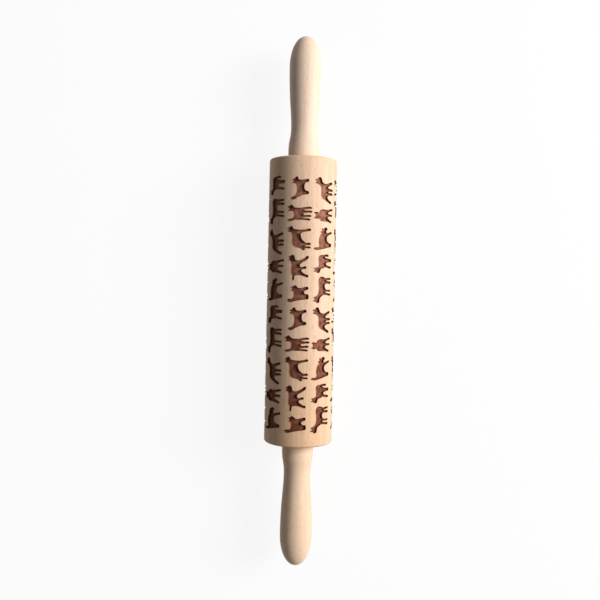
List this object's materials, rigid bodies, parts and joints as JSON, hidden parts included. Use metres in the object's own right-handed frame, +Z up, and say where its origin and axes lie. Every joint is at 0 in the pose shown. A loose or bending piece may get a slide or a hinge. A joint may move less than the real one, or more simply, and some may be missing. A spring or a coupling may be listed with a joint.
{
  "type": "embossed rolling pin",
  "caption": "Revolving wooden rolling pin: a barrel with cut figures that emboss dough turns on an axle between two shaped grips.",
  "frame": {"origin": "the middle of the pin, on the axis that the barrel turns about", "axes": "+X along the pin towards the right handle, +Y across it, +Z up from the table that the barrel lies on"},
  "size_m": [0.35, 0.0448, 0.0448],
  "materials": {
    "barrel_beech": "sanded bare beech, the cut figures scorched reddish brown",
    "handle_beech": "sanded bare beech, a little paler than the barrel",
    "steel": "drawn rod",
    "brass": "machined",
    "nylon": "moulded, natural white"
  },
  "bodies": {
    "barrel": {"barrel": "barrel_beech", "bush_left": "nylon", "bush_right": "nylon"},
    "handles": {"axle": "steel", "washer_left": "steel", "washer_right": "steel", "insert_left": "brass", "insert_right": "brass", "handle_left": "handle_beech", "handle_right": "handle_beech"}
  },
  "joints": [
    {"name": "barrel_spin", "type": "hinge", "parent": "barrel", "child": "handles", "pos_m": [0, 0, 0], "axis": [1, 0, 0], "continuous": true}
  ]
}
